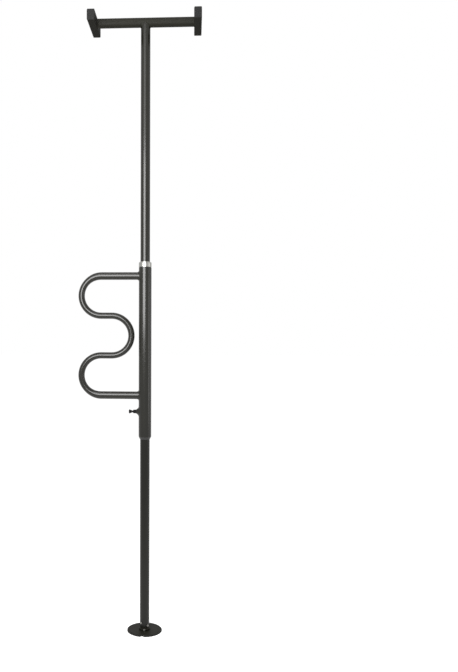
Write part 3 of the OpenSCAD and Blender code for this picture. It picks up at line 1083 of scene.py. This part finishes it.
@dataclass
class CeilingBracket:
    """Crossbar on the upper pole, with an end bar, caps and a rubber pad at each side."""

    bar_w: float = 30.0 * MM
    bar_h: float = 40.0 * MM
    bar_l: float = 207.0 * MM
    cap_t: float = 3.0 * MM
    cap_round: float = 3.0 * MM
    cap_steps: int = 6
    cap_crown: float = 1.0 * MM
    crown_share: float = 0.93
    cap_merge: float = 0.01 * MM
    plug_l: float = 12.0 * MM
    plug_inset: float = 2.3 * MM
    pad_inset: float = 1.7 * MM
    pad_t: float = 4.0 * MM
    rib_pitch: float = 6.0 * MM
    rib_w: float = 3.6 * MM
    rib_h: float = 1.8 * MM
    rib_round: float = 1.08 * MM
    rib_steps: int = 4
    weld: Weld = Weld(leg=4.0 * MM)
    cope_weld: Weld = Weld(leg=4.0 * MM, crown=0.3 * MM)

    def __post_init__(self) -> None:
        """Reads the places of the solids."""
        self.tube_r = half_size("crossbar").z
        self.bar_x = middle("ceiling_pad_right").x
        self.level = Matrix.Translation((0, 0, middle("crossbar").z))

    def build(self) -> None:
        """Makes the bracket's pieces and dresses its tubes."""
        dress(TEXTURED_COAT, "crossbar")
        dress(MATT_COAT, "end_bar_left", "end_bar_right")
        self.build_welds()
        self.build_caps()
        self.build_pads()

    def build_welds(self) -> None:
        """Makes the weld under the crossbar and those at its two ends."""
        # Local Z goes along the crossbar and local -X down the pole.
        upright = Matrix(((0, 0, 1, 0), (0, -1, 0, 0), (1, 0, 0, 0), (0, 0, 0, 1)))
        bead = self.cope_weld.saddle(self.tube_r, lambda out: self.tube_r, self.level @ upright)
        add_piece("crossbar_weld", bead, TEXTURED_COAT, Body.UPPER_POLE)
        for name, spin in (("right", 0.0), ("left", math.pi)):
            face = Matrix.Rotation(spin, 4, "Z") @ Matrix.Translation((self.bar_x - self.bar_w / 2, 0, 0))
            bead = self.weld.butt(self.tube_r, self.level @ face)
            add_piece(f"{name}_bar_weld", bead, TEXTURED_COAT, Body.UPPER_POLE)

    def bar_ends(self) -> list[tuple[Vector, Vector]]:
        """Gives the ends of the two bars' tubes.

        Returns:
            The middle of each end and the direction out of it.
        """
        ends = []
        for side in (-1, 1):
            for end in (-1, 1):
                place = Vector((side * self.bar_x, end * (self.bar_l / 2 - self.cap_t), 0))
                ends.append((self.level @ place, Vector((0, end, 0))))
        return ends

    def build_caps(self) -> None:
        """Makes the crowned plastic caps, with plugs that sit in the ends of the bars."""
        plate_t = self.cap_t - self.cap_crown
        # The plug reaches halfway into the cap's plate, so that no faces coincide.
        overlap = plate_t / 2
        plug_h, plug_w = self.bar_h - 2 * self.plug_inset, self.bar_w - 2 * self.plug_inset
        grown = GrownTree(
            "bar_caps",
            {
                "Width": self.bar_w, "Height": self.bar_h, "Corner": self.cap_round,
                "Thickness": plate_t, "Crown": self.cap_crown,
                "Plug": Vector((plug_h, plug_w, self.plug_l + overlap)),
                "Plug middle": Vector((0, 0, (overlap - self.plug_l) / 2)),
            },
        )
        size = grown.given
        outline = grown.add(
            "GeometryNodeCurvePrimitiveQuadrilateral",
            {"Width": size["Height"], "Height": size["Width"]}, mode="RECTANGLE",
        )
        rounded = grown.add(
            "GeometryNodeFilletCurve",
            {"Curve": outline, "Radius": size["Corner"], "Count": self.cap_steps}, mode="POLY",
        )
        face = grown.add("GeometryNodeFillCurve", {"Curve": rounded}, mode="NGONS")
        slab = add_node(
            grown.tree, "GeometryNodeExtrudeMesh",
            {"Mesh": face, "Offset Scale": size["Thickness"], "Individual": False},
        ).outputs
        crown = add_node(
            grown.tree, "GeometryNodeExtrudeMesh",
            {
                "Mesh": slab["Mesh"], "Selection": slab["Top"],
                "Offset Scale": size["Crown"], "Individual": False,
            },
        ).outputs
        eased = grown.add(
            "GeometryNodeScaleElements",
            {"Geometry": crown["Mesh"], "Selection": crown["Top"], "Scale": self.crown_share},
        )
        back = grown.add("GeometryNodeFlipFaces", {0: face})
        halves = grown.add("GeometryNodeJoinGeometry", {0: [eased, back]})
        head = grown.add("GeometryNodeMergeByDistance", {"Geometry": halves, "Distance": self.cap_merge})
        plug = grown.placed(size["Plug middle"], "GeometryNodeMeshCube", {"Size": size["Plug"]})
        cap = grown.add("GeometryNodeJoinGeometry", {0: [head, plug]})
        points, outs = zip(*self.bar_ends())
        mesh = grown.grow(grown.copies(cap, level=True), seed(points, out=outs), NYLON)
        add_piece("bar_end_caps", mesh, NYLON, Body.UPPER_POLE, ["end_caps"])

    def build_pads(self) -> None:
        """Makes the two rubber pads with ribs across them."""
        length = self.bar_l - 2 * self.cap_t
        half_w = self.bar_w / 2 - self.pad_inset
        slab_t = self.pad_t - self.rib_h
        count = math.floor((length - self.rib_w) / self.rib_pitch)
        for name, side in (("left", -1), ("right", 1)):
            grown = GrownTree(
                f"{name}_pad_ribs",
                {
                    "Slab": Vector((2 * half_w, length, slab_t)), "Slab middle": Vector((0, 0, slab_t / 2)),
                    "Rib width": self.rib_w, "Rib height": 2 * self.rib_h, "Rib round": self.rib_round,
                    "Rib start": Vector((-half_w, 0, 0)), "Rib end": Vector((half_w, 0, 0)),
                    "First rib": Vector((0, -(count - 1) * self.rib_pitch / 2, slab_t)),
                    "Step": Vector((0, self.rib_pitch, 0)), "Count": count,
                },
            )
            size = grown.given
            slab = grown.placed(size["Slab middle"], "GeometryNodeMeshCube", {"Size": size["Slab"]})
            outline = grown.add(
                "GeometryNodeCurvePrimitiveQuadrilateral",
                {"Width": size["Rib width"], "Height": size["Rib height"]}, mode="RECTANGLE",
            )
            rounded = grown.add(
                "GeometryNodeFilletCurve",
                {"Curve": outline, "Radius": size["Rib round"], "Count": self.rib_steps}, mode="POLY",
            )
            across = grown.add(
                "GeometryNodeCurvePrimitiveLine", {"Start": size["Rib start"], "End": size["Rib end"]}
            )
            rib = grown.add(
                "GeometryNodeCurveToMesh", {"Curve": across, "Profile Curve": rounded, "Fill Caps": True}
            )
            row = grown.add(
                "GeometryNodeMeshLine",
                {"Count": size["Count"], "Start Location": size["First rib"], "Offset": size["Step"]},
            )
            ribs = grown.add("GeometryNodeInstanceOnPoints", {"Points": row, "Instance": rib})
            pad = grown.add("GeometryNodeJoinGeometry", {0: [slab, ribs]})
            mesh = grown.grow(pad, seed([Vector()]), RUBBER)
            mesh.transform(self.level @ Matrix.Translation((side * self.bar_x, 0, self.bar_h / 2)))
            add_piece(f"{name}_ribbed_pad", mesh, RUBBER, Body.UPPER_POLE, [f"ceiling_pad_{name}"])


@dataclass(frozen=True)
class Softbox:
    """A lamp that faces the pole.

    Its azimuth is in degrees round the pole, to the right of the camera, and its lengths are in metres.
    """

    name: str
    azimuth: float
    distance: float
    height: float
    size: Point
    watts: float


@dataclass
class Studio:
    """Camera, lamps, pale floor and white surroundings.

    Angles are in degrees, lengths in metres and places in the picture in pixels. A backdrop's sight is its
    strength where it is looked at, and its light the strength that it throws.
    """

    distance: float = 3.141
    azimuth: float = 3.5
    height: float = 1.266
    focal_px: float = 788.0
    pole_px: float = 145.15
    horizon_px: float = 312.5
    roll: float = -0.11
    white: str = "#ffffff"
    sky_light: float = 0.15
    sky_sight: float = 1.0
    floor_size: float = 40.0
    floor_colour: str = "#e6e6e4"
    floor_light: float = 0.0
    floor_sight: float = 0.92
    lamps: tuple[Softbox, ...] = (
        Softbox("key_softbox", -19.5, 1.6, 1.7, (1.2, 1.08), 47.5),
        Softbox("top_softbox", -19.5, 1.6, 2.6, (1.2, 0.68), 6.2),
        Softbox("overhead_softbox", -6.0, 1.2, 3.5, (1.4, 0.7), 26.0),
        Softbox("side_strip", 74.0, 2.5, 1.05, (0.6, 1.1), 6.0),
    )

    def build(self) -> None:
        """Sets up everything that isn't part of the object."""
        bpy.context.scene.view_settings.view_transform = "Standard"
        self.build_camera()
        self.build_world()
        self.build_floor()
        for lamp in self.lamps:
            self.add_lamp(lamp)

    def spot(self, azimuth: float, distance: float, height: float) -> Vector:
        """Gives a place round the pole, by its angle from the camera's direction, in degrees."""
        turn = math.radians(self.azimuth + azimuth)
        return Vector((distance * math.sin(turn), -distance * math.cos(turn), height))

    def build_camera(self) -> None:
        """Sets a level camera, shifted so that the pole and the horizon lie where the picture has them."""
        data = bpy.data.cameras.new("camera")
        data.sensor_width = SENSOR_MM
        data.lens = self.focal_px / IMAGE_HEIGHT * SENSOR_MM
        data.shift_x = (IMAGE_WIDTH / 2 - self.pole_px) / IMAGE_HEIGHT
        data.shift_y = (self.horizon_px - IMAGE_HEIGHT / 2) / IMAGE_HEIGHT
        camera = add_object("camera", data)
        camera.location = self.spot(0.0, self.distance, self.height)
        camera.rotation_euler = (math.pi / 2, math.radians(self.roll), math.radians(self.azimuth))
        bpy.context.scene.camera = camera

    def add_lamp(self, softbox: Softbox) -> None:
        """Adds a softbox.

        Args:
            softbox: Its place, size and power.
        """
        data = bpy.data.lights.new(softbox.name, "AREA")
        data.shape = "RECTANGLE"
        data.size, data.size_y = softbox.size
        data.energy = softbox.watts
        lamp = add_object(softbox.name, data)
        lamp.location = self.spot(softbox.azimuth, softbox.distance, softbox.height)
        lamp.rotation_euler = (math.pi / 2, 0, math.radians(self.azimuth + softbox.azimuth))

    def strength(self, tree: bpy.types.NodeTree, light: float, sight: float) -> bpy.types.NodeSocket:
        """Adds the strength of a backdrop, which differs for the eye and for the light that it throws.

        Args:
            tree: The backdrop's tree.
            light: Strength of the light on the object.
            sight: Strength where the camera, a reflection or glass looks at the backdrop.

        Returns:
            The strength.
        """
        path = add_node(tree, "ShaderNodeLightPath").outputs
        seen = path["Is Camera Ray"]
        for ray in ("Is Glossy Ray", "Is Transmission Ray"):
            seen = add_node(tree, "ShaderNodeMath", {0: seen, 1: path[ray]}, operation="MAXIMUM").outputs[0]
        limits = {"Value": seen, "To Min": light, "To Max": sight}
        return add_node(tree, "ShaderNodeMapRange", limits).outputs["Result"]

    def build_world(self) -> None:
        """Makes surroundings that look white and light the object softly."""
        world = bpy.data.worlds.new("studio")
        tree = empty_tree(world)
        strength = self.strength(tree, self.sky_light, self.sky_sight)
        sky = add_node(tree, "ShaderNodeBackground", {"Color": linear(self.white), "Strength": strength})
        add_node(tree, "ShaderNodeOutputWorld", {"Surface": sky.outputs["Background"]})
        bpy.context.scene.world = world

    def build_floor(self) -> None:
        """Makes a pale floor that keeps the object's shadow."""
        half = self.floor_size / 2
        corners = [(-half, -half, 0), (half, -half, 0), (half, half, 0), (-half, half, 0)]
        mesh = bpy.data.meshes.new("floor")
        mesh.from_pydata(corners, [], [(0, 1, 2, 3)])
        material = bpy.data.materials.new("pale_floor")
        tree = empty_tree(material)
        matt = add_node(tree, "ShaderNodeBsdfDiffuse", {"Color": linear(self.floor_colour)})
        strength = self.strength(tree, self.floor_light, self.floor_sight)
        glow = add_node(tree, "ShaderNodeEmission", {"Color": linear(self.white), "Strength": strength})
        both = add_node(tree, "ShaderNodeAddShader", {0: matt.outputs[0], 1: glow.outputs[0]})
        add_node(tree, "ShaderNodeOutputMaterial", {"Surface": both.outputs[0]})
        mesh.materials.append(material)
        add_object("floor", mesh)


def main() -> None:
    """Builds the sub-assemblies in order, from the floor up, and then the studio."""
    logging.basicConfig(level=logging.INFO, format="%(name)s: %(message)s")
    for assembly in (Foot(), Jack(), GrabBar(), Plunger(), CeilingBracket(), Studio()):
        LOG.info("building %s", type(assembly).__name__)
        assembly.build()


if __name__ == "__main__":
    main()
